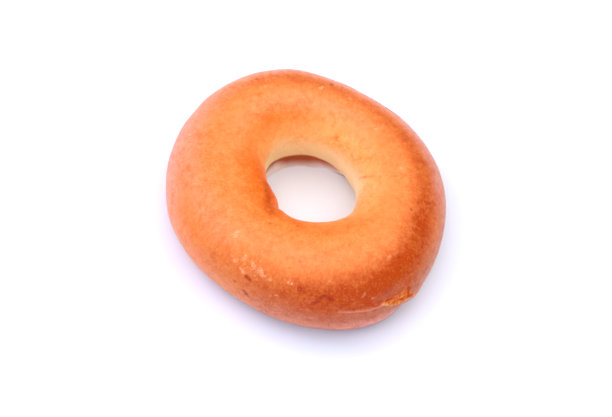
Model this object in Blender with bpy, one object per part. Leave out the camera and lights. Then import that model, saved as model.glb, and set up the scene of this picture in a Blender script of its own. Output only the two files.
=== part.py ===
"""A plain bagel: one ring of boiled and baked dough, lying on its flat underside.

The baker rolls a rope of dough, laps its two ends into a ring and presses the lap down. The ring is
proofed, boiled and baked flat side down. So it is one solid: a bent rope, wider on one side than on
the other, with a pressed foot, an uneven hole, a lip where the lapped end lifted in the oven, and a
fold where the dough puckered round the hole.

Metres, +Z up. The origin lies on the surface that the bagel rests on, under the middle of its outline.
Ring angles are in degrees and run anticlockwise from +X, seen from above. Turns run round the rope's
section: 0 is its outer side, 90 its crest, 180 its hole side and 270 its foot.
"""

import math

import bpy
from mathutils import Vector, noise

MM = 0.001

# The outline seen from above: its mean reach from the middle, and the lobes that make it an uneven
# oval. Each lobe pattern is (how many lobes, how far they stand out, the ring angle of one of them).
REACH = 52.2 * MM
REACH_LOBES = ((2, 3.9 * MM, 138), (3, 0.3 * MM, 74), (4, 0.75 * MM, 20))

# The hole at its narrowest, in the same way. One lobe sets it off the middle.
HOLE = 17.2 * MM
HOLE_LOBES = ((1, 4.5 * MM, 53), (2, 2.1 * MM, 118), (3, 0.8 * MM, 112), (4, 0.4 * MM, 44))

# The rope's section. Where the rope is wider than its usual width, it also stands higher.
ROPE_WIDTH = 36.0 * MM
ROPE_HEIGHT = 34.0 * MM
HEIGHT_FOLLOWS_WIDTH = 0.35
OUTER_SIDE_HEIGHT = 0.42
HOLE_SIDE_HEIGHT = 0.46
TOP_FULLNESS = 2.15
FOOT_FULLNESS = 2.2
FOOT_PRESSED = 4.0 * MM
FOOT_EDGE = 1.2 * MM

# The crust is never quite even: broad, shallow swells.
SWELL = 0.45 * MM
SWELL_SPACING = 26.0 * MM

# The lapped end of the rope: a lip that lifted on the outer side, with a gap under it and a crack over
# it. From the lip the edge of the lap climbs the side, runs on level and sinks into the crust.
LAP_ANGLE = -45.0
LAP_SWELL = 0.5 * MM
LAP_SWELL_SPREAD = 13.0 * MM
LIP_HEIGHT = 13.0 * MM
LIP_OUT = 1.3 * MM
LIP_LENGTH = 4.0 * MM
LIP_THICKNESS = 1.9 * MM
GAP_HEIGHT = 8.4 * MM
GAP_FROM_LIP = 5.0 * MM
GAP_DEPTH = 1.4 * MM
GAP_LENGTH = 7.5 * MM
GAP_WIDTH = 2.8 * MM
CRACK_HEIGHT = 23.5 * MM
CRACK_FROM_LIP = 7.0 * MM
CRACK_DEPTH = 1.0 * MM
CRACK_LENGTH = 6.0 * MM
LAP_EDGE_CLIMB = 8.0 * MM
LAP_EDGE_CLIMB_LENGTH = 13.0 * MM
LAP_EDGE_LENGTH = 30.0 * MM
LAP_EDGE_OUT = 0.8 * MM

# The pucker at the rim of the hole: a groove that climbs from the hole side towards the crest.
PUCKER_ANGLE = 219.0
PUCKER_TURN = 160.0
PUCKER_DEPTH = 1.3 * MM
PUCKER_WIDTH = 1.9 * MM
PUCKER_CLIMB = 26.0

# How finely the ring and the rope's section are divided. Both divisions crowd up at the lap.
RING_STEPS = 126
ROPE_STEPS = 38
RING_CROWDING = 0.35
ROPE_CROWDING = 0.30

CRUST_COLOUR = (0.72, 0.30, 0.10, 1.0)
CRUST_ROUGHNESS = 0.35


def clear_scene():
    for obj in list(bpy.data.objects):
        bpy.data.objects.remove(obj)


def lobed(mean, lobes, ring):
    """A length that rises and falls round the ring."""
    return mean + sum(size * math.cos(count * (ring - math.radians(at))) for count, size, at in lobes)


def hump(distance, spread):
    """1 at no distance, falling smoothly to nothing a few spreads away."""
    return math.exp(-((distance / spread) ** 2))


def angle_between(ring, degrees):
    """From a fixed ring angle to this one, the short way round, in radians."""
    return math.remainder(ring - math.radians(degrees), 2 * math.pi)


def crowded(angle, amount, centre):
    """An evenly spaced angle, drawn in towards the centre angle."""
    return angle - amount * math.sin(angle - centre)


def pressed(height):
    """The dough's height once the tray has flattened what would lie below it."""
    if height < -FOOT_EDGE:
        return 0.0
    if height > FOOT_EDGE:
        return height
    return (height + FOOT_EDGE) ** 2 / (4 * FOOT_EDGE)


def rope_section(ring, turn):
    """The distance from the middle and the height of a point on the smooth rope."""
    outer = lobed(REACH, REACH_LOBES, ring)
    inner = lobed(HOLE, HOLE_LOBES, ring)
    crest = ROPE_HEIGHT * ((outer - inner) / ROPE_WIDTH) ** HEIGHT_FOLLOWS_WIDTH
    outwards = math.cos(turn) >= 0
    upwards = math.sin(turn) >= 0
    side = crest * (OUTER_SIDE_HEIGHT if outwards else HOLE_SIDE_HEIGHT)
    power = 2 / (TOP_FULLNESS if upwards else FOOT_FULLNESS)
    half_width = (outer - inner) / 2 if outwards else (inner - outer) / 2
    reach = (outer + inner) / 2 + half_width * abs(math.cos(turn)) ** power
    rise = crest - side if upwards else -side - FOOT_PRESSED
    return reach, side + rise * abs(math.sin(turn)) ** power


def lap_edge_height(along):
    """The height of the lap's edge at a distance from the lip."""
    share = min(max(-along / LAP_EDGE_CLIMB_LENGTH, 0), 1)
    return LIP_HEIGHT + LAP_EDGE_CLIMB * share * share * (3 - 2 * share)


def lap_relief(ring, reach, height, turn):
    """How far the lapped end stands out from the side of the rope."""
    if math.cos(turn) < 0:
        return 0.0
    along = angle_between(ring, LAP_ANGLE) * reach
    above = height - lap_edge_height(along)
    at_lip = hump(along, LIP_LENGTH)
    along_edge = hump(along + LAP_EDGE_LENGTH / 2, LAP_EDGE_LENGTH / 2)
    at_gap = hump(along + GAP_FROM_LIP, GAP_LENGTH)
    at_crack = hump(along + CRACK_FROM_LIP, CRACK_LENGTH)
    relief = LAP_SWELL * hump(along, LAP_SWELL_SPREAD)
    relief += (LIP_OUT * at_lip + LAP_EDGE_OUT * along_edge) * hump(above, LIP_THICKNESS)
    relief -= GAP_DEPTH * at_gap * hump(height - GAP_HEIGHT, GAP_WIDTH)
    relief -= CRACK_DEPTH * at_crack * hump(height - CRACK_HEIGHT, LIP_THICKNESS)
    return relief * math.cos(turn) ** 2


def pucker_relief(ring, reach, turn):
    """How deep the pucker at the hole is drawn in."""
    across = angle_between(ring, PUCKER_ANGLE) * reach
    climb = math.degrees(turn) - PUCKER_TURN
    return -PUCKER_DEPTH * hump(across, PUCKER_WIDTH) * hump(climb, PUCKER_CLIMB)


def crust_point(ring, turn):
    """A point of the finished crust."""
    reach, height = rope_section(ring, turn)
    outwards = Vector((math.cos(ring), math.sin(ring), 0))
    facing = outwards * math.cos(turn) + Vector((0, 0, math.sin(turn)))
    point = outwards * reach + Vector((0, 0, height))
    relief = SWELL * noise.noise(point / SWELL_SPACING)
    relief += lap_relief(ring, reach, height, turn) + pucker_relief(ring, reach, turn)
    point += facing * relief
    point.z = pressed(point.z)
    return point


def crust_material():
    material = bpy.data.materials.new("golden_crust")
    material.use_nodes = True
    shader = material.node_tree.nodes["Principled BSDF"]
    shader.inputs["Base Color"].default_value = CRUST_COLOUR
    shader.inputs["Roughness"].default_value = CRUST_ROUGHNESS
    return material


def shape_rope(mesh):
    """Moves each point of the plain ring out to the crust."""
    for vertex in mesh.vertices:
        ring = math.atan2(vertex.co.y, vertex.co.x)
        turn = math.atan2(vertex.co.z, math.hypot(vertex.co.x, vertex.co.y) - REACH)
        ring = crowded(ring, RING_CROWDING, math.radians(LAP_ANGLE))
        turn = crowded(turn, ROPE_CROWDING, 0)
        vertex.co = crust_point(ring, turn % (2 * math.pi))


def centre_over_origin(mesh):
    """Puts the middle of the outline over the origin."""
    for axis in (0, 1):
        places = [vertex.co[axis] for vertex in mesh.vertices]
        middle = (min(places) + max(places)) / 2
        for vertex in mesh.vertices:
            vertex.co[axis] -= middle


def make_bagel():
    bpy.ops.mesh.primitive_torus_add(
        major_segments=RING_STEPS,
        minor_segments=ROPE_STEPS,
        major_radius=REACH,
        minor_radius=REACH - HOLE,
    )
    bagel = bpy.context.active_object
    bagel.name = "bagel"
    shape_rope(bagel.data)
    centre_over_origin(bagel.data)
    bagel.data.shade_smooth()
    bagel.data.materials.append(crust_material())
    return bagel


def main():
    clear_scene()
    bagel = make_bagel()
    collection = bpy.data.collections.new("bagel")
    bpy.context.scene.collection.children.link(collection)
    for holder in list(bagel.users_collection):
        holder.objects.unlink(bagel)
    collection.objects.link(bagel)


main()
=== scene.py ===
# A plain bagel: a rope of dough whose two ends were lapped and pressed into a ring, proofed, boiled and
# then baked flat side down. It has a thin, glossy, unevenly browned crust, and stands alone on a table.
import math

import bpy
import numpy as np
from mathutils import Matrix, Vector, noise


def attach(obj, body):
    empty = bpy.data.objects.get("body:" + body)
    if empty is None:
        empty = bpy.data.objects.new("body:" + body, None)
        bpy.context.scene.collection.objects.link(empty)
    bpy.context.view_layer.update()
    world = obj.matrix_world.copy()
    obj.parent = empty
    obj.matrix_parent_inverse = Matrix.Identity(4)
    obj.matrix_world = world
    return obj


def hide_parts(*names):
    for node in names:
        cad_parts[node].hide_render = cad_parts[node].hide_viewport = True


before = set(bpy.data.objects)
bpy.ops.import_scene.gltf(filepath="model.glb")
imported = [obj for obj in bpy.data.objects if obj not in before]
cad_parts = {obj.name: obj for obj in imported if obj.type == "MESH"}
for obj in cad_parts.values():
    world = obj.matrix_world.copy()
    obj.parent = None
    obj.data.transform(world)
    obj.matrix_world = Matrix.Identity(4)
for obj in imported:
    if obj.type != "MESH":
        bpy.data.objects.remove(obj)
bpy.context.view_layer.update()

MM = 0.001


# ---------------------------------------------------------------------------------------------------
# The table, the light and the camera. The table is a plain pale top. A broad soft light hangs overhead,
# with four weak ones round it, and the pale room fills the shadows. The camera looks steeply down.
# ---------------------------------------------------------------------------------------------------
CAMERA_ELEVATION = math.radians(62)
CAMERA_DISTANCE = 650 * MM
CAMERA_LENS = 100.6
CAMERA_TARGET = Vector((0.2, -1.5, 15.0)) * MM
CAMERA_DROP = 3.6 * MM
CAMERA_REACH = 20
TABLE_WIDTH = 6.0
TABLE_COLOUR = (0.875, 0.925, 0.985, 1)
TABLE_ROUGHNESS = 0.6
TABLE_SHINE = 0.2
LIGHT_AIM = Vector((0.0, 0.0, 0.015))
# Each soft panel: its name, place, width and depth, power and colour. They all face the bagel.
PANELS = (
    ("overhead_panel", (0.09, 0.07, 0.75), (1.1, 1.00), 7.8, (0.87, 0.98, 1.05)),
    ("left_panel", (-0.512, 0.295, 0.48), (0.42, 0.42), 1.7, (1.0, 0.85, 1.1)),
    ("right_panel", (0.512, 0.295, 0.48), (0.42, 0.42), 0.9, (1.3, 0.8, 0.6)),
    ("left_fill", (-0.512, -0.295, 0.48), (0.42, 0.42), 1.1, (1.02, 0.86, 1.15)),
    ("front_fill", (0.0, -0.66, 0.38), (0.90, 0.40), 2.6, (0.78, 0.84, 0.98)),
)
ROOM_COLOUR = (0.92, 0.83, 1.35, 1)
ROOM_STRENGTH = 0.08

bpy.ops.object.select_all(action="DESELECT")
bpy.ops.mesh.primitive_plane_add(size=TABLE_WIDTH)
table = bpy.context.active_object
table.name = "table"
pale = bpy.data.materials.new("pale_table")
pale.use_nodes = True
pale_shader = pale.node_tree.nodes["Principled BSDF"]
pale_shader.inputs["Base Color"].default_value = TABLE_COLOUR
pale_shader.inputs["Roughness"].default_value = TABLE_ROUGHNESS
pale_shader.inputs["Specular IOR Level"].default_value = TABLE_SHINE
table.data.materials.append(pale)

room = bpy.data.worlds.new("pale_room")
bpy.context.scene.world = room
room.use_nodes = True
room_light = room.node_tree.nodes["Background"]
room_light.inputs["Color"].default_value = ROOM_COLOUR
room_light.inputs["Strength"].default_value = ROOM_STRENGTH

for name, place, size, power, colour in PANELS:
    bpy.ops.object.light_add(type="AREA", location=place)
    panel = bpy.context.active_object
    panel.name = name
    panel.rotation_euler = (Vector(place) - LIGHT_AIM).to_track_quat("Z", "Y").to_euler()
    panel.data.shape = "RECTANGLE"
    panel.data.size, panel.data.size_y = size
    panel.data.energy = power
    panel.data.color = colour

back = Vector((0, -math.cos(CAMERA_ELEVATION), math.sin(CAMERA_ELEVATION)))
up = Vector((0, math.sin(CAMERA_ELEVATION), math.cos(CAMERA_ELEVATION)))
bpy.ops.object.camera_add(location=CAMERA_TARGET + back * CAMERA_DISTANCE - up * CAMERA_DROP)
camera = bpy.context.active_object
camera.rotation_euler = (math.pi / 2 - CAMERA_ELEVATION, 0, 0)
camera.data.lens = CAMERA_LENS
camera.data.clip_end = CAMERA_REACH
bpy.context.scene.camera = camera
bpy.context.scene.view_settings.view_transform = "Standard"


# ---------------------------------------------------------------------------------------------------
# The form of the dough: the solid ring of the frame, merged and rounded off. It is only a form for the
# crust to be drawn over, and is removed at the end.
# ---------------------------------------------------------------------------------------------------
MERGE = 0.001 * MM
ROUNDING_LEVELS = 2

bpy.ops.object.select_all(action="DESELECT")
form = bpy.data.objects.new("dough_form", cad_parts["bagel"].data.copy())
bpy.context.scene.collection.objects.link(form)
form.select_set(True)
bpy.context.view_layer.objects.active = form
bpy.ops.object.mode_set(mode="EDIT")
bpy.ops.mesh.select_all(action="SELECT")
bpy.ops.mesh.remove_doubles(threshold=MERGE)
bpy.ops.mesh.tris_convert_to_quads()
bpy.ops.object.mode_set(mode="OBJECT")
rounding = form.modifiers.new("rounding", "SUBSURF")
rounding.levels = ROUNDING_LEVELS
rounding.render_levels = ROUNDING_LEVELS
bpy.ops.object.modifier_apply(modifier=rounding.name)


# ---------------------------------------------------------------------------------------------------
# The crust: the thin skin that the boiled dough formed in the oven, one with the dough under it. A thin
# ring is laid along the middle of the dough and drawn out to the form, and its skin is then worked into
# swells, blisters, creases and the torn end of the lap, and browned.
# ---------------------------------------------------------------------------------------------------
# A place on the crust is a ring angle and a turn, in degrees. Ring angles run anticlockwise from +X, seen
# from above. Turns run round the rope: 0 is the outer side, 90 the crest, 180 the hole's side, 270 the
# foot. Sizes and heights on the crust are in mm.
RING_STEPS = 220
ROPE_STEPS = 108
# Where the steps are closer together: (angle, spread, how much closer).
RING_CLOSER = ((-54, 15, 1.6), (-140, 14, 0.5))
TURN_CLOSER = ((12, 24, 0.9), (150, 22, 0.35))
CORE_HEIGHT = 16 * MM
CORE_RADIUS = 35 * MM
CORE_THICKNESS = 7 * MM
FAR_OUT = 90 * MM
FINE_STEP = 0.05


def crowded(angles, closer):
    """Evenly spaced angles, in degrees, drawn closer together at the given places."""
    fine = np.arange(0, 360, FINE_STEP)
    crowd = np.ones(len(fine))
    for middle, spread, gain in closer:
        crowd += gain * np.exp(-(((fine - middle + 180) % 360 - 180) / spread) ** 2)
    passed = np.cumsum(crowd) / crowd.sum() * 360
    return np.interp(angles % 360, passed, fine)


def heading(ring):
    """The level direction outwards from the hole's axis, at a ring angle."""
    return Vector((math.cos(math.radians(ring)), math.sin(math.radians(ring)), 0))


def rope_middle(ring):
    """A point on the rope's middle line, at a ring angle."""
    axis = Vector((0, 0, CORE_HEIGHT))
    hole_side = form.ray_cast(axis, heading(ring))[1]
    outer_side = form.ray_cast(axis + heading(ring) * FAR_OUT, -heading(ring))[1]
    return axis + heading(ring) * (hole_side.xy.length + outer_side.xy.length) / 2


def outwards(ring, turn):
    """The direction from the rope's middle line to its skin."""
    lift = Vector((0, 0, math.sin(math.radians(turn))))
    return heading(ring) * math.cos(math.radians(turn)) + lift


bpy.ops.object.select_all(action="DESELECT")
bpy.ops.mesh.primitive_torus_add(
    major_segments=RING_STEPS,
    minor_segments=ROPE_STEPS,
    major_radius=CORE_RADIUS,
    minor_radius=CORE_THICKNESS,
)
crust = bpy.context.active_object
crust.name = "crust"
crust.data.name = "crust"
bpy.ops.object.mode_set(mode="EDIT")
bpy.ops.mesh.select_all(action="SELECT")
bpy.ops.mesh.subdivide(number_cuts=1)
bpy.ops.object.mode_set(mode="OBJECT")

points = np.empty(len(crust.data.vertices) * 3)
crust.data.vertices.foreach_get("co", points)
points = points.reshape(-1, 3)
even_rings = np.degrees(np.arctan2(points[:, 1], points[:, 0]))
even_turns = np.degrees(np.arctan2(points[:, 2], np.hypot(points[:, 0], points[:, 1]) - CORE_RADIUS))
rings = (crowded(even_rings, RING_CLOSER) + 180) % 360 - 180
turns = (crowded(even_turns, TURN_CLOSER) + 90) % 360 - 90
middles = {ring: rope_middle(ring) for ring in np.unique(rings.round(2))}
for vertex, ring, turn in zip(crust.data.vertices, rings, turns):
    vertex.co = middles[ring.round(2)] + outwards(ring, turn) * CORE_THICKNESS
crust.data.update()
drawing = crust.modifiers.new("drawn_out", "SHRINKWRAP")
drawing.target = form
drawing.wrap_method = "PROJECT"
drawing.use_positive_direction = True
drawing.use_negative_direction = False
bpy.ops.object.modifier_apply(modifier=drawing.name)
crust.data.shade_smooth()

places = np.empty(len(crust.data.vertices) * 3)
crust.data.vertices.foreach_get("co", places)
places = places.reshape(-1, 3) / MM
normals = np.empty(places.size)
crust.data.vertex_normals.foreach_get("vector", normals)
normals = normals.reshape(-1, 3)


def ease(value, low, high):
    """0 below low, 1 above high, smooth between."""
    share = np.clip((value - low) / (high - low), 0, 1)
    return share * share * (3 - 2 * share)


def hump(distance, spread):
    """1 at no distance, falling smoothly away over the spread."""
    return np.exp(-((distance / spread) ** 2))


def lumps(size, seed=0):
    """Smooth random heights, about -1 to 1, over lumps of that many mm."""
    shift = Vector((seed * 7.3, seed * 3.1, 0))
    return np.array([noise.noise(Vector(place) / size + shift) for place in places])


def around(*stops):
    """A value round the ring that runs smoothly through (ring angle, value) stops."""
    stops = sorted(stops)
    closed = [(stops[-1][0] - 360, stops[-1][1]), *stops, (stops[0][0] + 360, stops[0][1])]
    level = np.zeros(len(rings))
    for (start, low), (end, high) in zip(closed, closed[1:]):
        part = (rings >= start) & (rings < end)
        level[part] = low + (high - low) * ease(rings[part], start, end)
    return level


def on_crust(ring, turn):
    """A point on the form, in mm, at a ring angle and a turn."""
    return np.array(form.ray_cast(rope_middle(ring), outwards(ring, turn))[1]) / MM


NO_LENGTH = 1e-9


def nearest_to(spots, ends):
    """How far each spot is from the line that runs through the ends, or from the one end."""
    nearest = np.full(len(spots), np.inf)
    for start, end in zip(ends, ends[1:] or ends):
        way = end - start
        along = np.clip((spots - start) @ way / max(way @ way, NO_LENGTH), 0, 1)
        nearest = np.minimum(nearest, np.linalg.norm(spots - start - np.outer(along, way), axis=1))
    return nearest


def from_line(*stops):
    """How many mm each point of the crust is from a line through (ring angle, turn) stops."""
    return nearest_to(ragged, [on_crust(*stop) for stop in stops])


def soft_lines(rows):
    """Soft lines on the crust. Each is (strength, width, then its (ring angle, turn) stops)."""
    return [strength * hump(from_line(*stops), width) for strength, width, *stops in rows]


def soft_spots(rows):
    """Soft round spots on the crust. Each is (ring angle, turn, size, strength)."""
    return soft_lines([(strength, size, (ring, turn)) for ring, turn, size, strength in rows])


# Edges and spots are read at slightly shaken places, so that none comes out as a clean line.
SHAKE = 0.35
SHAKE_SIZE = 1.5
ragged = places + SHAKE * np.stack([lumps(SHAKE_SIZE, seed) for seed in (1, 2, 3)], axis=1)

# The lumps and dimples of the skin, which fade out on the flat foot: (size, height, seed).
SKIN_LUMPS = ((15, 0.20, 0), (5.5, 0.10, 4), (2.2, 0.045, 5), (1.0, 0.02, 6))
FOOT_FADE = (0.3, 4)
skin = sum(height * lumps(size, seed) for size, height, seed in SKIN_LUMPS)
relief = skin * ease(places[:, 2], *FOOT_FADE)

# The broad swells and hollows. Each has the turn of its middle, how far it spreads round the rope, and
# how high it stands round the ring.
low_wall = around((100, 206), (130, 196), (150, 186), (0, 206))
SWELLS = (
    # The outer side swells a little here and there.
    (10, 45, (
        (-170, 0.8), (-150, 0.1), (-145, 0), (-75, 0.1), (0, 0.25), (25, 0.15), (42, 0.35), (60, 0),
        (80, 0.1), (97, 0.8), (110, 0.4), (125, 0.1), (140, 0.4), (150, 0.9), (162, 0.5), (175, 0.2),
    )),
    # It sags over the foot below the lap.
    (-30, 19, (
        (-125, 0), (-108, 0.4), (-82, 0.4), (-72, 1.05), (-56, 0.95), (-46, 0.1), (-40, 0), (60, 0),
    )),
    # The right side of the hole swells too, and its left side is drawn back.
    (172, 32, (
        (-170, -0.4), (-150, 0), (-30, 0), (-10, 0.5), (8, 0.5), (20, 0.1), (30, 0), (42, 0.2), (52, 0),
        (70, 0), (135, 0), (150, -0.1), (163, 0.2), (176, -0.5),
    )),
    # Its front rim is a little fuller.
    (152, 18, ((-110, 0), (-80, 0.5), (-60, 0.35), (-40, 0), (60, 0))),
    # The lower edge of the hole's back wall is uneven.
    (low_wall, 17, (
        (2, 0), (18, 0.35), (32, 0.95), (46, 0.5), (60, -0.45), (73, 0.25), (86, 0.1), (100, 0), (115, -0.2),
        (130, -0.8), (142, -0.9), (156, -0.2), (166, 0),
    )),
)
for middle, spread, stops in SWELLS:
    relief += around(*stops) * hump(turns - middle, spread)

# The lap's end. The flap tore as the dough rose and left a ragged mouth: a low lip of skin under it,
# pulled crumb inside, and the swollen crust above. It is laid out flat, in mm along and across the rope.
MOUTH_MIDDLE = (-52, 12)
MM_PER_RING = 0.995
MM_PER_TURN = 0.314
MOUTH_LIP = ((-58.6, 18.2), (-57.4, 14.8), (-56.3, 12), (-54.5, 7.5), (-52.7, 5), (-49.3, 0.5), (-45.5, -6))
MOUTH_TOP = (
    (-45.5, -6), (-46.8, 1), (-46.9, 10), (-47, 18.5), (-48.3, 20.5), (-50, 18), (-51.5, 17.2),
    (-53.5, 19), (-55.3, 21), (-56.8, 21), (-58.6, 18.2),
)
MOUTH_SHAKE = 0.45
MOUTH_SHAKE_SIZE = 1.2
MOUTH_DEPTH = 0.45
MOUTH_SLOPE = (-0.05, 0.8)
CRUMB_EDGE = (-0.1, 0.35)
CRUMB_ROUGH = 0.22
LIP_HEIGHT = 0.3
LIP_WIDTH = 0.26
LIP_BACK = 0.1
LIP_WHOLE = (-57, -55.5)
TOP_SWELL = 0.3
TOP_SPREAD = 1.8
TOP_TURNS = (8, 16)
PIT_DEPTH = 0.1
LIP_PIT_STRENGTH = 1.5
LIP_PIT_BACK = 0.8
LIP_PIT_WIDTH = 0.4
LIP_PIT_RINGS = (-56.5, -55)
LOOSE_PIT_STRENGTH = 0.45
# The pulled crumb has pits at its corners, and one fold of skin stands at its right: each line here is its
# strength, its width and its stops.
CORNER_PITS = (
    (1, 0.8, (-57.6, 18), (-56, 17.2)), (1, 0.95, (-47.4, 18.5), (-47.8, 13)),
    (1, 0.5, (-48, 10), (-48.4, 3)), (0.8, 0.35, (-53.5, 9.5), (-51.5, 6.5), (-50, 4.5)),
)
RIGHT_FOLD = (0.35, 0.6, (-47.6, 19), (-48.4, 2))


def laid_flat(ring, turn):
    """Where a place is, in mm along and across the rope from the middle of the mouth."""
    across = (ring - MOUTH_MIDDLE[0] + 180) % 360 - 180
    upward = (turn - MOUTH_MIDDLE[1] + 180) % 360 - 180
    return np.stack([across * MM_PER_RING, upward * MM_PER_TURN], axis=-1)


def edge(stops):
    """An edge of the mouth, laid flat."""
    return [laid_flat(np.array(ring), np.array(turn)) for ring, turn in stops]


flat = laid_flat(rings, turns)
flat += MOUTH_SHAKE * np.stack([lumps(MOUTH_SHAKE_SIZE, seed) for seed in (7, 8)], axis=1)
# A point is inside the mouth if the outline crosses its level, on its right, an odd number of times.
outline = edge(MOUTH_LIP + MOUTH_TOP[1:])
inside = np.zeros(len(flat), bool)
for start, end in zip(outline, outline[1:]):
    spans = (start[1] > flat[:, 1]) != (end[1] > flat[:, 1])
    if start[1] != end[1]:
        crossing = start[0] + (flat[:, 1] - start[1]) * (end[0] - start[0]) / (end[1] - start[1])
        inside ^= spans & (flat[:, 0] < crossing)
from_lip = nearest_to(flat, edge(MOUTH_LIP))
from_top = nearest_to(flat, edge(MOUTH_TOP))
# How far each point is inside the mouth's edge, less than 0 outside it.
within = np.where(inside, 1, -1) * np.minimum(from_lip, from_top)
crumb = ease(within, *CRUMB_EDGE)
# More pits lie behind the lip, in places, and loosely over the crumb.
behind_lip = hump(from_lip - LIP_PIT_BACK, LIP_PIT_WIDTH) * ease(rings, *LIP_PIT_RINGS)
pits = sum(soft_lines(CORNER_PITS)) + LIP_PIT_STRENGTH * behind_lip * ease(lumps(1.0, 14), -0.1, 0.2)
pits += LOOSE_PIT_STRENGTH * ease(lumps(1.4, 12), 0.15, 0.45)
pits = np.minimum(pits, 1) * crumb
relief -= MOUTH_DEPTH * ease(within, *MOUTH_SLOPE)
relief += CRUMB_ROUGH * crumb * (lumps(1.6, 9) + 0.7 * lumps(0.9, 10))
relief += sum(soft_lines([RIGHT_FOLD])) - PIT_DEPTH * pits
# The lip is whole at its left end, and ragged further on.
whole = 1 - ease(rings, *LIP_WHOLE)
lip = hump(from_lip - LIP_BACK, LIP_WIDTH) * np.maximum(whole, ease(lumps(1.1, 13), -0.15, 0.25))
relief += LIP_HEIGHT * lip
relief += TOP_SWELL * hump(from_top, TOP_SPREAD) * (1 - crumb) * ease(turns, *TOP_TURNS)

# From the lip's end the seam of the lap runs on to the left as a crease over a low ridge, and fades. Its
# crease is painted dark as painted shade, and its ridge pale as painted highlight.
SEAM = ((-58.6, 21), (-60.6, 21.8), (-64, 20.6), (-69, 21), (-74, 22), (-79, 24))
SEAM_WIDTH = 0.45
SEAM_DEPTH = 0.4
RIDGE = ((-58.8, 16.8), (-61.9, 15.9), (-64.7, 15.2), (-69, 17), (-73, 18), (-77, 19))
RIDGE_WIDTH = 0.42
RIDGE_HEIGHT = 0.28
SEAM_FADE = (-84, -66)
seam_fade = ease(rings, *SEAM_FADE)
seam = seam_fade * hump(from_line(*SEAM), SEAM_WIDTH)
ridge = seam_fade * hump(from_line(*RIDGE), RIDGE_WIDTH)
relief += RIDGE_HEIGHT * ridge - SEAM_DEPTH * seam

# Creases where the skin is drawn in over the right rim of the hole: (strength, width, stops).
CREASES = (
    (1, 0.42, (0.6, 129), (3.8, 140.7), (7.9, 154.5)), (0.5, 0.4, (24, 137), (28, 146), (32, 156)),
    (0.5, 0.4, (36, 137), (35, 148), (30, 150)), (0.35, 0.4, (-21, 126), (-18, 132), (-19, 138)),
)
CREASE_DEPTH = 0.3
drawn_in = sum(soft_lines(CREASES))
relief -= CREASE_DEPTH * drawn_in

# Blisters: small raised flakes of skin, paler than the rest. Each is a short line: ring angle and turn
# of its middle, how far it runs each way along the ring and up the turn, its size and its height.
BLISTERS = (
    (-116.8, 51.7, 0.9, -0.8, 0.55, 0.24), (-111.8, 48.7, 0.3, -2.5, 0.5, 0.22),
    (-110.8, 45.5, 0.4, 0, 0.5, 0.2), (-121.7, 38.3, 1.0, -1.5, 0.55, 0.24),
    (-122.9, 55.5, 0.2, 3, 0.45, 0.12), (-126.5, 46, 0.4, 1, 0.5, 0.14), (-129.5, 47.5, 0.4, 0, 0.4, 0.1),
    (-113.5, 51, 0.2, 2, 0.35, 0.14), (-115.2, 45, 0.2, 2, 0.3, 0.12),
    (-97.7, 49, 0.2, 0, 0.4, 0.14), (-95.7, 48.5, 0.2, 0, 0.45, 0.14), (-99.8, 50.5, 0.2, 0, 0.3, 0.1),
    (-107, 44, 0.2, 2, 0.3, 0.1), (-103, 27, 0.3, 0, 0.3, 0.1), (-105, 23, 0.3, 0, 0.3, 0.1),
    (-79, 56, 0.3, 0.5, 0.35, 0.1), (-66, 37, 0.3, 0.5, 0.35, 0.1), (-63, 29, 0.3, 0, 0.3, 0.08),
    (-49, 64, 0.3, 0, 0.4, 0.1), (-64, 86, 0.2, 1, 0.4, 0.08), (-135.2, 73.5, 0.2, 2.5, 0.55, 0.1),
    (-134, 70.5, 0.2, 2, 0.4, 0.1), (-173, 62, 0.3, 1, 0.4, 0.1), (-177.5, 56, 0.3, 1, 0.35, 0.08),
    (81, 79.5, 0.2, 1.5, 0.45, 0.14), (63, 78, 0.6, 0, 0.35, 0.1), (112, 82, 0.4, 0, 0.4, 0.1),
    (2.8, 91.7, 0.4, 0, 0.35, 0.1), (37, 129, 1.0, 0.5, 0.35, 0.1), (49, 132, 1.4, 0.5, 0.35, 0.1),
    (44, 127, 0.9, 0, 0.3, 0.08), (36, 94, 0.4, 1, 0.35, 0.08), (52, 88, 0.4, 1, 0.35, 0.08),
    (-8.5, 136.4, 3.6, 0, 0.3, 0.1), (-12, 127, 3.2, -1, 0.3, 0.1), (-20, 131, 2, 3, 0.3, 0.08),
    (35, 145, 1.0, 0, 0.3, 0.08), (27, 145.6, 0.8, 0, 0.25, 0.08),
    (-62.8, 21, 0.5, 0, 0.3, 0.08), (-64, 33, 0.3, 0, 0.3, 0.06), (-66.5, 36, 0.3, 1, 0.3, 0.06),
    (-68, 25, 0.4, 0, 0.3, 0.06),
)
BLISTER_RISE = 0.75
FLAKE_WIDER = 1.05
FLAKE_PALER = 6
# Round the largest blisters lies a scatter of tiny ones.
TINY_COUNT = 44
TINY_RING = -118
TINY_TURN = 47
TINY_SPREAD = 6
TINY_REACH = 0.1
TINY_SIZES = (0.16, 0.3)
TINY_HEIGHTS = (0.05, 0.1)
scatter = np.random.default_rng(7)
tiny = [
    (
        scatter.normal(TINY_RING, TINY_SPREAD), scatter.normal(TINY_TURN, TINY_SPREAD), TINY_REACH, 0,
        scatter.uniform(*TINY_SIZES), scatter.uniform(*TINY_HEIGHTS),
    )
    for count in range(TINY_COUNT)
]
flakes = np.zeros(len(places))
for ring, turn, along, upward, size, height in [*BLISTERS, *tiny]:
    near = from_line((ring - along, turn - upward), (ring + along, turn + upward))
    relief += BLISTER_RISE * height * hump(near, size)
    flakes = np.maximum(flakes, hump(near, size * FLAKE_WIDER) * min(1, height * FLAKE_PALER))

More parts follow.
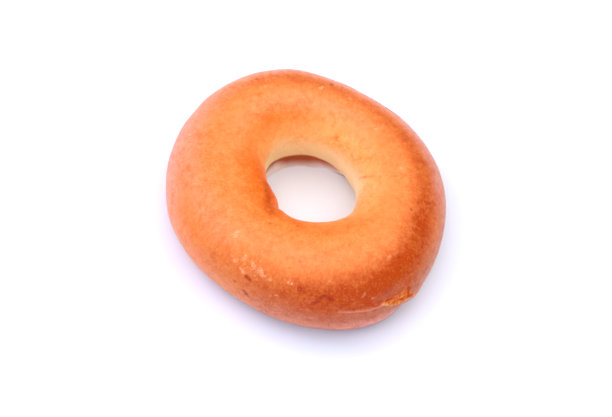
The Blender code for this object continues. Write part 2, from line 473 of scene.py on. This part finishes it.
# One large blister at the front has burst, and left a rim round a shallow pit with a dark edge.
BURST = (-92.5, 44.2)
RIM_RADIUS = 1.1
RIM_WIDTH = 0.45
RIM_HEIGHT = 0.22
BURST_PIT_WIDTH = 0.7
BURST_PIT_DEPTH = 0.15
DARK_EDGE = 0.8
DARK_EDGE_RADIUS = 0.8
DARK_EDGE_WIDTH = 0.4
burst = from_line(BURST)
relief += RIM_HEIGHT * hump(burst - RIM_RADIUS, RIM_WIDTH) - BURST_PIT_DEPTH * hump(burst, BURST_PIT_WIDTH)

# Scorched spots, slightly sunk. Each is (ring angle, turn, size, how dark).
SCORCHES = (
    (-118.6, 33.4, 1.1, 1.0), (-117.0, 32.0, 0.9, 1.0), (-123.4, 16.8, 0.8, 0.8), (-124.3, 18.5, 0.6, 0.6),
    (-118.6, 8.5, 1.0, 0.8), (-117.2, 5.5, 1.0, 0.9), (-116, 2, 0.9, 0.6), (-114.5, 0, 0.8, 0.5),
    (-76, 25, 0.9, 0.8), (-78, 21, 0.8, 0.6), (-89, 8, 1.3, 0.4), (-71.5, 31, 0.9, 0.5),
    (-73, 40, 0.5, 0.7), (-62, 41.5, 0.9, 0.5), (-57.5, 30, 1.3, 0.5), (-53.5, 47, 1.4, 0.4),
    (-48, 46, 0.6, 0.9), (-45, 57, 0.6, 0.7), (-41.5, 30, 0.6, 0.7), (-36, 50, 1.0, 0.4),
    (-28, 65, 0.7, 0.5), (-31, 58, 0.8, 0.4), (-22, 74.5, 0.7, 0.9), (-17, 69, 0.8, 0.7),
    (-16, 51, 0.7, 0.6), (-2, 119.3, 0.8, 0.5), (-7.3, 119.4, 0.6, 0.5), (-2.6, 99.2, 0.9, 0.5),
    (5.5, 95.7, 0.5, 0.6), (52, 86, 0.5, 0.4), (114.5, 108, 0.5, 0.6), (76, 65, 1.0, 0.9),
    (74, 68, 0.5, 0.6), (104, 65, 0.8, 0.6), (-174.2, 51.4, 0.9, 0.5), (-176, 48.8, 0.8, 0.45),
    (118, 91, 0.7, 0.3), (114, 64, 0.9, 0.6), (70, 63, 0.9, 0.7), (83, 72, 0.7, 0.5),
    (-159, 139, 0.7, 0.8), (-130, 128, 0.7, 0.7), (-121, 108, 0.7, 0.6),
    (-93, 76, 0.6, 0.6), (-72, 83, 0.6, 0.5), (-63, 96, 0.6, 0.6), (-97, 125, 1.2, 0.5),
    (-70, 73, 0.5, 0.5), (-56, 121, 0.6, 0.5), (-78.4, 89, 0.7, 0.4), (-81, 83, 0.8, 0.5),
)
# At the front a scorched line curls over, in a few strokes: (how dark, width, stops).
CURL = (
    (1, 0.95, (-87, 28.6), (-84.9, 32.8)),
    (1, 0.85, (-83.4, 38.2), (-81.8, 40), (-80.2, 37.7), (-78.8, 34.8)),
    (0.45, 0.6, (-76, 28), (-74, 27), (-72, 31)),
)
SCORCH_DEPTH = 0.12
dark_edge = DARK_EDGE * hump(burst - DARK_EDGE_RADIUS, DARK_EDGE_WIDTH)
scorched = np.max([dark_edge, *soft_lines(CURL), *soft_spots(SCORCHES)], axis=0)
relief -= SCORCH_DEPTH * scorched

# Stains, where the skin is a deeper orange. Each is (ring angle, turn, size, how strong).
STAINS = (
    (-174.2, 51.5, 1.3, 0.9), (-176.3, 48.5, 1.1, 0.8), (-172.6, 54, 0.7, 0.6), (118, 91, 1.2, 0.8),
    (59, 141, 0.9, 0.9), (57, 145, 0.8, 0.8), (61, 137, 0.7, 0.6), (53, 150, 0.9, 0.7), (41, 90, 0.6, 0.6),
    (79.5, 126, 0.8, 0.6), (71, 112, 0.8, 0.5), (66, 128, 0.6, 0.6), (90, 118, 0.9, 0.4),
)
# Smaller, fainter ones lie all over the top.
FAINT_COUNT = 90
FAINT_TURNS = (40, 150)
FAINT_SIZES = (0.4, 1.0)
FAINT_STRENGTHS = (0.25, 0.6)
faint = [
    (
        scatter.uniform(-180, 180), scatter.uniform(*FAINT_TURNS),
        scatter.uniform(*FAINT_SIZES), scatter.uniform(*FAINT_STRENGTHS),
    )
    for count in range(FAINT_COUNT)
]
# The creases over the right rim of the hole are painted the same deeper orange, as painted shade.
stains_and_crease_shade = np.max([drawn_in, *soft_spots(STAINS), *soft_spots(faint)], axis=0)

# At the back of the hole a thin flat sheet runs from the foot inwards over the table, a painted shadow
# under the back wall. It reaches furthest at its fold, which is moved to the nearest row of points.
FOLD_TURN = 234
fold_turn = turns[np.abs(turns - FOLD_TURN).argmin()]
SPREAD_TURNS = (210, 216, 222, 228, fold_turn, 242, 252, 266)
SPREAD_REACH = (0, 0.5, 1.4, 3.0, 5.4, 4.4, 2.0, 0)
at_back = around((-60, 0), (38, 0), (62, 0.35), (85, 0.85), (105, 1), (125, 1), (172, 0))
spread = at_back * np.interp(turns, SPREAD_TURNS, SPREAD_REACH)
inwards = -places * (1, 1, 0) / np.linalg.norm(places[:, :2], axis=1)[:, None]
# It is pressed almost flat, also where it spread only a little.
FLAT_TURN = 235
FLAT_SPREAD = 9
FLATTENED = 0.95
FLAT_SOONER = 3
flattened = FLATTENED * np.minimum(at_back * FLAT_SOONER, 1) * hump(turns - FLAT_TURN, FLAT_SPREAD)

# All of this is now worked into the skin, which stays just clear of the table.
LOWEST = 0.02
places = places + normals * relief[:, None] + inwards * spread[:, None]
places[:, 2] = np.maximum(places[:, 2] * (1 - flattened), LOWEST)
for vertex, place in zip(crust.data.vertices, places):
    vertex.co = place * MM

# The fold is a crease, so that the top and the underside of the thin edge are shaded apart.
SAME_TURN = 0.1
AT_ALL = 0.02
on_fold = (np.abs(turns - fold_turn) < SAME_TURN) & (at_back > AT_ALL)
ends = np.empty(len(crust.data.edges) * 2, int)
crust.data.edges.foreach_get("vertices", ends)
crust.data.edges.foreach_set("use_edge_sharp", on_fold[ends].reshape(-1, 2).all(axis=1))
crust.data.update()

# A brown band on the outer shoulder, strongest at the front: partly how far the heat went, partly painted
# shade. It has a middle turn, a reach over and under that, and a strength, all round the ring.
brown_turn = around(
    (-150, 33), (-110, 34), (-80, 38), (-50, 44), (-20, 59), (0, 62), (20, 66), (40, 70), (60, 72),
    (100, 71), (150, 62),
)
brown_over = around(
    (-150, 24), (-120, 26), (-95, 27), (-70, 26), (-42, 24), (-20, 20), (0, 18), (30, 17), (60, 14),
    (110, 13), (150, 20),
)
brown_under = around(
    (-150, 22), (-90, 33), (-74, 38), (-50, 32), (-20, 24), (0, 19), (30, 14), (60, 12), (110, 11),
    (150, 16),
)
browned_and_shade = around(
    (-160, 0.05), (-150, 0.14), (-130, 0.33), (-100, 0.69), (-75, 1.01), (-52, 1.12), (-20, 0.94), (0, 0.72),
    (20, 0.57), (60, 0.43), (95, 0.5), (125, 0.22), (150, 0.08),
)
off_band = turns - brown_turn
browned_and_shade *= hump(off_band, np.where(off_band > 0, brown_over, brown_under))
# A brown streak follows the rim at the left of the hole.
STREAK = (0.66, 2.8, (-174, 148), (-158, 143), (-144, 136), (-130, 125))
browned_and_shade += sum(soft_lines([STREAK]))

# Deep orange round the left rim of the hole and along its back, and fainter on the crest at the left.
rim_turn = around(
    (-180, 140), (-150, 136), (-100, 124), (-60, 120), (60, 136), (120, 133), (150, 128), (165, 134),
)
rim_spread = around((-180, 27), (-150, 25), (-100, 20), (-60, 20), (60, 14), (120, 17), (160, 20))
deep = hump(turns - rim_turn, rim_spread) * around(
    (-175, 1), (-140, 1), (-115, 0.55), (-85, 0.36), (-50, 0.2), (-10, 0), (40, 0), (65, 0.3), (90, 0.72),
    (118, 1), (145, 0.15), (155, 0.25), (170, 0.7),
)
CREST_TURN = 88
CREST_SPREAD = 20
deep += hump(turns - CREST_TURN, CREST_SPREAD) * around(
    (-175, 0.22), (-150, 0.2), (-120, 0.1), (-90, 0.04), (-60, 0), (75, 0), (95, 0.06), (130, 0),
)

# Along the crest a pale peach band is painted highlight, the sheen of the light overhead.
PEACH_SPREAD = 18
peach_turn = around((-120, 82), (-60, 82), (60, 108), (120, 108))
peach_highlight = hump(turns - peach_turn, PEACH_SPREAD) * around(
    (-170, 0.1), (-120, 0.3), (-90, 0.3), (-60, 0.1), (-30, 0), (20, 0.1), (60, 0.5), (110, 0.45),
    (150, 0.2),
)

# Towards the hole the crust thins to straw, then to bare dough on the wall.
STRAW_BLEND = 56
BARE_BLEND = 38
thins = around(
    (-175, 184), (-150, 178), (-125, 142), (-100, 126), (-60, 118), (-20, 94), (20, 94), (60, 94),
    (100, 115), (130, 118), (150, 118), (165, 140),
)
straw = ease(turns, thins, thins + STRAW_BLEND)
bares = around(
    (-150, 215), (-100, 178), (-60, 164), (-20, 142), (0, 132), (18, 138), (32, 147), (60, 150), (90, 154),
    (120, 148), (150, 160), (175, 205),
)
bare = ease(turns, bares, bares + BARE_BLEND)
bare *= around((-150, 0.6), (-40, 0.8), (15, 1), (50, 0.8), (85, 0.6), (115, 0.7), (150, 0.9))

# Below the shoulder it stays pale and pinkish, partly its own colour and partly painted sheen of the pale
# table and room; less so at the left, where it browned a little, low down most of all.
SIDE_BLEND = 50
LOW_DOWN = (-5, 28)
shoulder = around(
    (-180, 70), (-150, 42), (-120, 24), (-70, 17), (-40, 30), (0, 58), (30, 76), (60, 84), (90, 80),
    (130, 84), (160, 84),
)
side_and_sheen = 1 - ease(turns, shoulder - SIDE_BLEND, shoulder)
side_and_sheen *= 1 - around((-180, 0), (-150, 0.4), (-115, 0.4), (-90, 0), (90, 0)) * (1 - ease(turns, *LOW_DOWN))
side_and_sheen *= 1 - around(
    (-180, 0.15), (-160, 0.35), (-140, 0.45), (-115, 0.4), (-90, 0.1), (-70, 0), (60, 0), (140, 0),
    (165, 0.1),
)

# A mauve painted sheen, the pale room and table reflected, lies on the right, faintly on the shoulder at
# the left, and again low down at the front.
MAUVE_TOP = (38, 62)
MAUVE_FOOT = (8, 34)
MAUVE_AT_FOOT = 0.35
LEFT_MAUVE_TURN = 62
LEFT_MAUVE_SPREAD = 18
LOW_MAUVE_TOP = (-4, 12)
right_mauve = around((-25, 0), (0, 0.6), (60, 1), (95, 0.8), (130, 0)) * (1 - ease(turns, *MAUVE_TOP))
right_mauve *= MAUVE_AT_FOOT + (1 - MAUVE_AT_FOOT) * ease(turns, *MAUVE_FOOT)
left_mauve = around((-120, 0), (-150, 0.18), (-180, 0.2), (150, 0.1), (120, 0))
left_mauve *= hump(turns - LEFT_MAUVE_TURN, LEFT_MAUVE_SPREAD)
low_mauve = around((-120, 0), (-90, 0.5), (-60, 1), (-45, 0.7), (-25, 0))
low_mauve *= 1 - ease(turns, *LOW_MAUVE_TOP)
mauve_sheen = np.max([right_mauve, left_mauve, low_mauve], axis=0)

# At the front and the right the side is dusky up to the band, a painted shade, but low down at the front
# it is not.
DUSKY_FULL = 5
NOT_DUSKY = (-18, 7)
dusky_top = around((-60, 48), (-20, 60), (20, 70), (60, 60))
dusky_shade = (1 - ease(turns, DUSKY_FULL, dusky_top)) * around(
    (-170, 0), (-150, 0.08), (-125, 0.33), (-100, 0.8), (-60, 1.1), (-40, 0.88), (-20, 0.68), (5, 0.5),
    (25, 0.25), (45, 0.1), (60, 0),
)
low_front = around((-110, 0), (-85, 0.4), (-60, 0.85), (-45, 0.5), (-20, 0))
dusky_shade *= 1 - low_front * (1 - ease(turns, *NOT_DUSKY))

# The foot: where the crust turns under it is dark, partly browned and partly painted shade where it meets
# the table; the thin sheet at the back of the hole is a painted shadow that fades to the table's white; and
# the base that lay on the tray is baked a mottled brown.
FOOT_IN_HOLE = 5
FOOT_OUTSIDE = 12
SHADOW_FADE_BLEND = 16
BAKED_IN_HOLE = (237, 246)
BAKED_OUTSIDE = (46, 60)
base_turn = around(
    (30, 230), (55, 217), (75, 211), (100, 212), (130, 207), (150, 206), (165, 214), (-170, 232), (-60, 232),
)
foot_turn = around((-130, 34), (-100, 25), (-82, 18), (-58, 18), (-45, 26), (-30, 34), (90, 34))
foot_and_shade = np.maximum(
    ease(turns, base_turn, base_turn + FOOT_IN_HOLE), ease(-turns, foot_turn, foot_turn + FOOT_OUTSIDE),
)
shadow_fade_turn = around(
    (45, 214), (70, 218), (90, 222), (106, 221), (122, 213), (136, 211), (150, 215), (165, 218),
)
shadow_sheet_fade = around((-60, 0), (32, 0), (50, 1), (140, 1), (152, 0.6), (170, 0))
shadow_sheet_fade *= ease(turns, shadow_fade_turn, shadow_fade_turn + SHADOW_FADE_BLEND) * (turns <= fold_turn + SAME_TURN)
baked = np.maximum(ease(turns, *BAKED_IN_HOLE), ease(-turns, *BAKED_OUTSIDE))

# The stretched skin over the lap is thin and dark reddish, partly painted shade of the crack above the
# mouth: (strength, width, stops).
STRETCHED = ((1, 1.6, (-50, 24), (-54, 24.5), (-58, 25), (-61, 25)), (0.5, 1.8, (-43, 24), (-42, 12)))
lap_skin_and_shade = np.minimum(sum(soft_lines(STRETCHED)), 1) * (1 - crumb)

# Each of these is kept on the crust's points, for its material to read.
for name, values in (
    ("peach_highlight", peach_highlight), ("side_and_sheen", side_and_sheen), ("mauve_sheen", mauve_sheen), ("deep", deep), ("straw", straw), ("bare", bare),
    ("dusky_shade", dusky_shade), ("browned_and_shade", browned_and_shade), ("foot_and_shade", foot_and_shade), ("shadow_sheet_fade", shadow_sheet_fade), ("baked", baked),
    ("stains_and_crease_shade", np.minimum(stains_and_crease_shade, 1)), ("scorched", scorched), ("flakes", flakes), ("lap_skin_and_shade", lap_skin_and_shade),
    ("seam", seam), ("ridge", ridge), ("crumb", crumb), ("pits", pits), ("lip", lip),
):
    layer = crust.data.attributes.new(name, "FLOAT", "POINT")
    layer.data.foreach_set("value", values)
# So is where each point is along the ring and round the rope, so that streaks can run across the band.
laid_out = np.stack([rings * MM_PER_RING, turns * MM_PER_TURN, np.zeros(len(rings))], axis=1)
layer = crust.data.attributes.new("laid_out", "FLOAT_VECTOR", "POINT")
layer.data.foreach_set("vector", laid_out.ravel())


class Wire:
    """An output of a shader node. Sums on wires add Math nodes to their tree."""

    def __init__(self, tree, output=None):
        self.tree = tree
        self.output = output

    def node(self, kind, settings=None, sockets=None, output=0):
        """A new node: its settings first, then the values or wires of its sockets."""
        made = self.tree.nodes.new(kind)
        for name, value in (settings or {}).items():
            setattr(made, name, value)
        for name, value in (sockets or {}).items():
            if isinstance(value, Wire):
                self.tree.links.new(value.output, made.inputs[name])
            else:
                made.inputs[name].default_value = value
        return Wire(self.tree, made.outputs[output])

    def math(self, operation, *values):
        return self.node("ShaderNodeMath", {"operation": operation}, dict(enumerate(values)))

    def __add__(self, other):
        return self.math("ADD", self, other)

    def __sub__(self, other):
        return self.math("SUBTRACT", self, other)

    def __rsub__(self, other):
        return self.math("SUBTRACT", other, self)

    def __mul__(self, other):
        return self.math("MULTIPLY", self, other)

    __radd__ = __add__
    __rmul__ = __mul__

    def held(self):
        """The value, held between 0 and 1."""
        return self.node("ShaderNodeClamp", {}, {"Value": self})

    def eased(self, low, high):
        """0 below low, 1 above high, smooth between."""
        settings = {"interpolation_type": "SMOOTHSTEP"}
        return self.node("ShaderNodeMapRange", settings, {"Value": self, "From Min": low, "From Max": high})

    def over(self, colour, under):
        """A colour laid over another, as far as this mask says."""
        settings = {"data_type": "RGBA"}
        return self.node("ShaderNodeMix", settings, {0: self, 6: under, 7: colour}, output=2)

    def times(self, tint, colour):
        """A colour multiplied by a tint, as far as this mask says."""
        settings = {"data_type": "RGBA", "blend_type": "MULTIPLY"}
        return self.node("ShaderNodeMix", settings, {0: self, 6: colour, 7: tint}, output=2)


# The colours of the crust: its ground, and what lies over it from the crest down and into the hole.
GOLD = (0.92, 0.255, 0.051, 1)
# The pale peach is painted highlight along the crest.
PEACH_HIGHLIGHT = (0.97, 0.32, 0.135, 1)
# The pink side is partly its own colour, partly painted sheen.
PINK_SIDE_AND_SHEEN = (0.97, 0.37, 0.205, 1)
# The mauve is painted sheen.
MAUVE_SHEEN = (0.85, 0.34, 0.26, 1)
DEEP_ORANGE = (0.88, 0.168, 0.008, 1)
STRAW = (0.98, 0.45, 0.13, 1)
BARE_DOUGH = (1.0, 0.82, 0.43, 1)
# The dusky side is painted shade.
DUSKY_SHADE = (0.58, 0.165, 0.071, 1)
# The brown is partly real browning, partly painted shade.
BROWN_AND_SHADE = (0.525, 0.059, 0.001, 1)
# Its marks.
SPECK = (0.92, 0.34, 0.08, 1)
SCORCH = (0.40, 0.031, 0.009, 1)
FLAKE = (0.98, 0.50, 0.25, 1)
# The dark skin over the lap is partly painted shade.
LAP_SKIN_AND_SHADE = (0.50, 0.115, 0.060, 1)
# The pale ridge is painted highlight.
RIDGE_HIGHLIGHT = (0.79, 0.33, 0.25, 1)
# The pale lip is partly painted highlight.
LIP_EDGE_AND_HIGHLIGHT = (0.97, 0.50, 0.16, 1)
CRUMB = (0.74, 0.140, 0.018, 1)
PALE_CRUMB = (0.92, 0.300, 0.045, 1)
# The pits' colour is painted shade.
CRUMB_PIT_SHADE = (0.54, 0.060, 0.003, 1)
# Its foot and base.
# The dark foot is partly browned, partly painted shade where it meets the table.
FOOT_AND_SHADE = (0.40, 0.070, 0.008, 1)
# The tip of the painted shadow sheet, fading to the table's white.
SHADOW_SHEET_FADE = (0.96, 0.83, 0.78, 1)
BAKED_BASE = (0.74, 0.27, 0.065, 1)
DARK_BASE = (0.40, 0.085, 0.012, 1)
# The tints of its darker and lighter mottles.
DARKER = (0.95, 0.74, 0.50, 1)
LIGHTER = (1.02, 1.26, 1.60, 1)
# The sizes of the patterns. A streak is drawn out round the rope.
PATCH_SIZE = 7 * MM
FLECK_SIZE = 2.4 * MM
GRAIN_SIZE = 0.9 * MM
SPECK_SIZE = 0.6 * MM
CRACKLE_SIZE = 0.5 * MM
STREAK_SCALE = (1.2, 0.35, 1)
PORE_DEPTH = 0.15 * MM
PORE_STRENGTH = 0.45
# From where to where a pattern or a mark comes in.
SPECK_RANGE = (0.58, 0.72)
SCORCH_RANGE = (0.1, 0.9)
TONE_RANGE = (0.0, 0.3)
FLAKE_COVER = 0.85
CRUST_ROUGHNESS = 0.45

golden = bpy.data.materials.new("golden_crust")
golden.use_nodes = True
golden_tree = golden.node_tree
golden_shader = golden_tree.nodes["Principled BSDF"]
spot = Wire(golden_tree).node("ShaderNodeTexCoord", output="Object")


def mottle(size, detail=1.0):
    """Uneven patches of about that size, from 0 to 1."""
    return spot.node("ShaderNodeTexNoise", {}, {"Vector": spot, "Scale": 1 / size, "Detail": detail})


def painted(name):
    """What the crust's points carry under that name."""
    return spot.node("ShaderNodeAttribute", {"attribute_name": name}, output="Fac")


patches = mottle(PATCH_SIZE, 2.0)
flecks = mottle(FLECK_SIZE, 2.0)
grain = mottle(GRAIN_SIZE)
crackle = mottle(CRACKLE_SIZE)
specks = mottle(SPECK_SIZE, 0.0).eased(*SPECK_RANGE)
laid = spot.node("ShaderNodeAttribute", {"attribute_name": "laid_out"}, output="Vector")
drawn = spot.node("ShaderNodeVectorMath", {"operation": "MULTIPLY"}, {0: laid, 1: STREAK_SCALE})
streaks = spot.node("ShaderNodeTexNoise", {}, {"Vector": drawn, "Scale": 1.0, "Detail": 1.5})
uneven = (patches - 0.5) * 0.9 + (flecks - 0.5) * 1.0 + (grain - 0.5) * 0.9


def layered(colour, where, tint, strength=1, broken=0, speckled=0, pattern=uneven):
    """A tint over the colour: broken says how far the pattern breaks it up, speckled how far it strays."""
    mask = where * (strength + pattern * broken) if broken else where * strength
    if speckled:
        mask = mask + pattern * speckled
    return mask.held().over(tint, colour)


# The gold ground, with the painted highlight along the crest over it.
colour = layered(GOLD, painted("peach_highlight"), PEACH_HIGHLIGHT, broken=1)
# The pale side below the shoulder, partly painted sheen.
colour = layered(colour, painted("side_and_sheen"), PINK_SIDE_AND_SHEEN, speckled=0.25)
# Painted sheen in mauve on the sides.
colour = layered(colour, painted("mauve_sheen"), MAUVE_SHEEN, broken=0.3)
colour = layered(colour, painted("deep"), DEEP_ORANGE, broken=0.8, speckled=0.3)
colour = layered(colour, painted("straw"), STRAW, strength=1.05, broken=0.3, speckled=0.15)
colour = layered(colour, painted("bare"), BARE_DOUGH, broken=0.3)
# Painted shade on the side at the front and the right.
colour = layered(colour, painted("dusky_shade"), DUSKY_SHADE, broken=0.6)
# The brown band, partly real browning and partly painted shade.
colour = layered(colour, painted("browned_and_shade"), BROWN_AND_SHADE, broken=0.7, speckled=0.04)
colour = layered(colour, painted("browned_and_shade"), SPECK, strength=0, broken=0.14, pattern=specks)
# Stains, and painted shade in the creases, in deeper orange.
colour = layered(colour, painted("stains_and_crease_shade"), DEEP_ORANGE, strength=0.35, broken=0.5, pattern=flecks)
scorch = painted("scorched").eased(*SCORCH_RANGE)
colour = layered(colour, scorch, SCORCH, strength=0.6, broken=0.6, pattern=flecks)
flake = (painted("flakes") * (crackle * 6 - 2.2)).held()
colour = (flake * FLAKE_COVER).over(FLAKE, colour)
# Dark skin over the lap, partly painted shade.
colour = layered(colour, painted("lap_skin_and_shade"), LAP_SKIN_AND_SHADE, strength=0.5, broken=1)
# Painted shade in the seam's crease.
colour = layered(colour, painted("seam"), BROWN_AND_SHADE, strength=0.8)
# Painted highlight on the seam's ridge.
colour = layered(colour, painted("ridge"), RIDGE_HIGHLIGHT, strength=0.68, broken=0.8)
# The dark foot, partly browned and partly painted shade, also the root of the painted shadow sheet.
colour = layered(colour, painted("foot_and_shade"), FOOT_AND_SHADE)
# The painted shadow sheet fades to the table's white at its tip.
colour = layered(colour, painted("shadow_sheet_fade"), SHADOW_SHEET_FADE)
base_colour = (uneven * 1.6 + 0.4).held().over(DARK_BASE, BAKED_BASE)
colour = layered(colour, painted("baked"), base_colour)

# The mottle: the skin is a little darker here and lighter there, less so where it is bare or browned.
tone = (grain - 0.5) * 1.0 + (flecks - 0.5) * 1.2 + (patches - 0.5) * 0.6 + (streaks - 0.5) * 0.7
calm = 1 - painted("bare") * 0.75 - painted("browned_and_shade") * 0.15
mottled = (patches * 0.9 + 0.15) * calm
colour = (tone.eased(*TONE_RANGE) * mottled).held().times(DARKER, colour)
colour = ((0 - tone).eased(*TONE_RANGE) * mottled).held().times(LIGHTER, colour)

# In the mouth of the lap the crumb is pale and dark in turn, with painted shade in its pits and a pale lip,
# partly painted highlight along its edge.
crumb_colour = (uneven * 3.0 + 0.45).held().over(PALE_CRUMB, CRUMB)
colour = layered(colour, painted("crumb"), crumb_colour)
# Painted shade in the pits.
colour = layered(colour, painted("pits"), CRUMB_PIT_SHADE, strength=1.2, broken=1)
# The pale lip, partly painted highlight.
colour = layered(colour, painted("lip"), LIP_EDGE_AND_HIGHLIGHT, strength=0.4, broken=0.9, pattern=grain)

# The bare dough, the crumb and the deep orange rim are less shiny than the rest.
roughness = CRUST_ROUGHNESS + uneven * 0.12
roughness = roughness + painted("bare") * 0.2 + painted("crumb") * 0.3 + painted("deep") * 0.25
pores = flecks * 0.5 + grain * 0.5
pore_sockets = {"Strength": PORE_STRENGTH, "Distance": PORE_DEPTH, "Height": pores}
bump = spot.node("ShaderNodeBump", {}, pore_sockets)
golden_tree.links.new(colour.output, golden_shader.inputs["Base Color"])
golden_tree.links.new(roughness.output, golden_shader.inputs["Roughness"])
golden_tree.links.new(bump.output, golden_shader.inputs["Normal"])
for socket, value in (
    ("Specular IOR Level", 0.13),
    ("Sheen Weight", 0.12),
    ("Sheen Roughness", 0.35),
    ("Sheen Tint", (1.0, 0.88, 0.84, 1)),
    ("Subsurface Weight", 0.3),
    ("Subsurface Radius", (1.0, 0.5, 0.25)),
    ("Subsurface Scale", 3 * MM),
):
    golden_shader.inputs[socket].default_value = value
crust.data.materials.append(golden)

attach(crust, "root")
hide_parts("bagel")

# The form is done with.
bpy.data.objects.remove(form)
